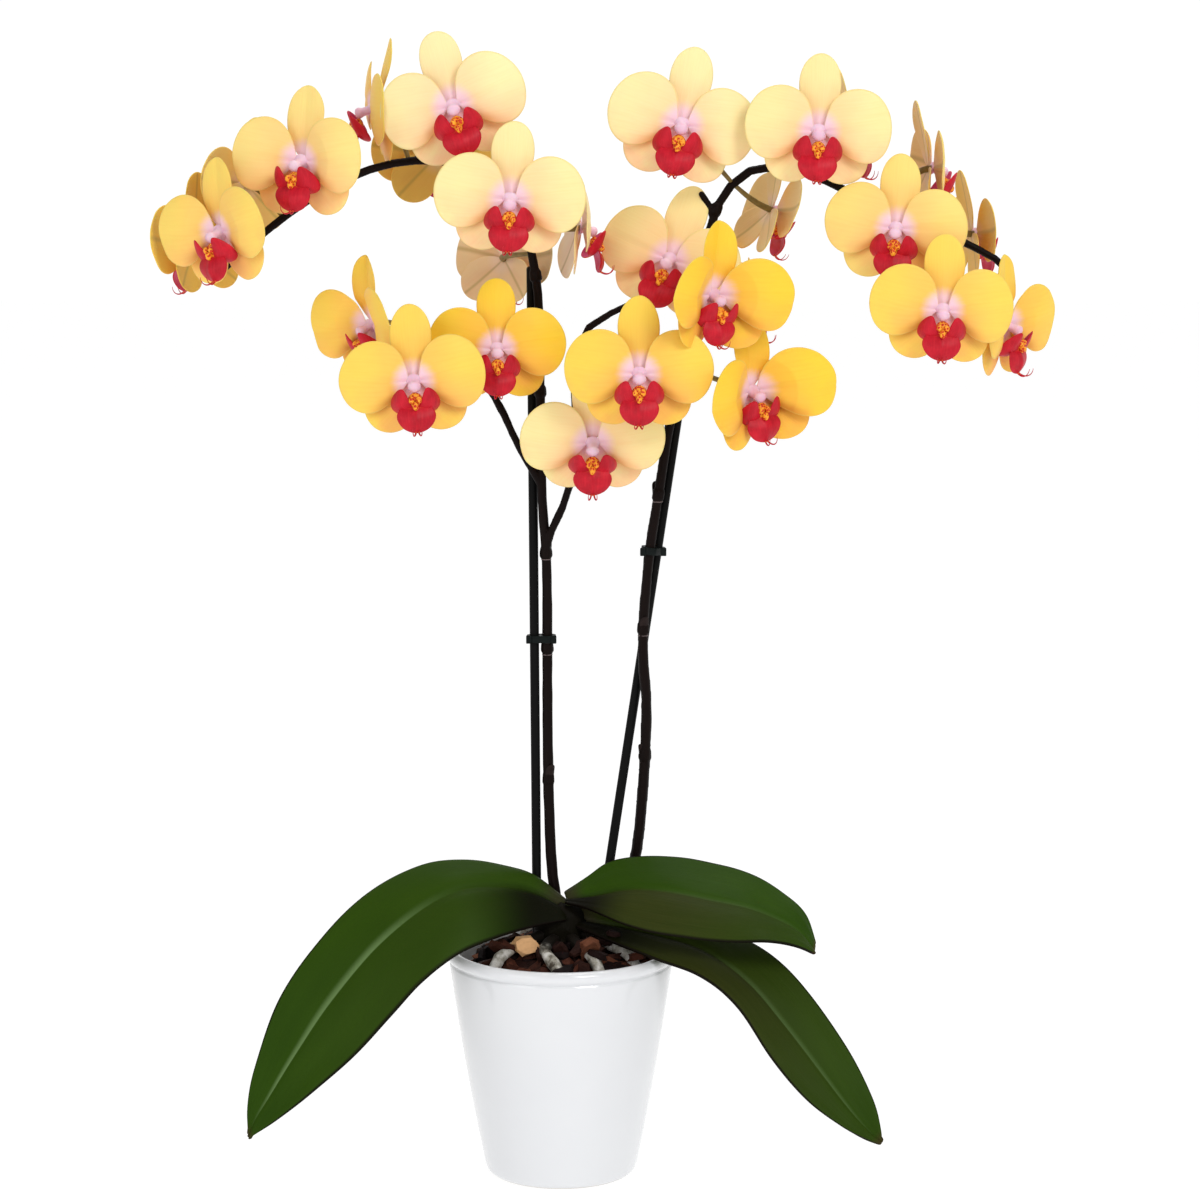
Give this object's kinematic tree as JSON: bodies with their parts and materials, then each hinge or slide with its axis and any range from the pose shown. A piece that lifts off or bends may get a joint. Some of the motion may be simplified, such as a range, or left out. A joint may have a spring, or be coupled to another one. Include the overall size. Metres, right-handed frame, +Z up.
{
  "type": "potted orchid",
  "caption": "Moth orchid with arching flower spikes clipped to stakes, broad drooping leaves and bark, in a tapered white glazed pot.",
  "frame": {"origin": "centre of the pot's flat base", "axes": "+Z up along the pot's axis; -Y is the front, where most blooms face; +X is to the right seen from the front"},
  "size_m": [0.4891, 0.1513, 0.6411],
  "materials": {
    "glaze": "gloss",
    "bark": "matte",
    "root_skin": "matte",
    "leaf_green": "satin",
    "sheath": "satin",
    "spike_dark": "satin",
    "stake_dark": "satin",
    "clip_dark": "satin",
    "petal": "satin",
    "lip": "satin",
    "column": "satin",
    "pedicel": "satin"
  },
  "bodies": {
    "root": {"bark_bed": "bark", "bloom_left_01": "petal", "bloom_left_02": "petal", "bloom_left_03": "petal", "bloom_left_04": "petal", "bloom_left_05": "petal", "bloom_left_06": "petal", "bloom_left_07": "petal", "bloom_left_08": "petal", "bloom_left_09": "petal", "bloom_left_10": "petal", "bloom_left_11": "petal", "bloom_left_12": "petal", "bloom_left_13": "petal", "bloom_middle_01": "petal", "bloom_middle_02": "petal", "bloom_middle_03": "petal", "bloom_middle_04": "petal", "bloom_right_01": "petal", "bloom_right_02": "petal", "bloom_right_03": "petal", "bloom_right_04": "petal", "bloom_right_05": "petal", "bloom_right_06": "petal", "bloom_right_07": "petal", "bloom_right_08": "petal", "bloom_right_09": "petal", "bloom_right_10": "petal", "bloom_right_11": "petal", "clip_left": "clip_dark", "clip_right": "clip_dark", "crown": "sheath", "leaf_left": "leaf_green", "leaf_right_lower": "leaf_green", "leaf_right_upper": "leaf_green", "pot": "glaze", "root_1": "root_skin", "root_2": "root_skin", "root_3": "root_skin", "root_4": "root_skin", "root_5": "root_skin", "root_6": "root_skin", "spike_left": "spike_dark", "spike_right": "spike_dark", "stake_left": "stake_dark", "stake_right": "stake_dark"}
  },
  "joints": []
}
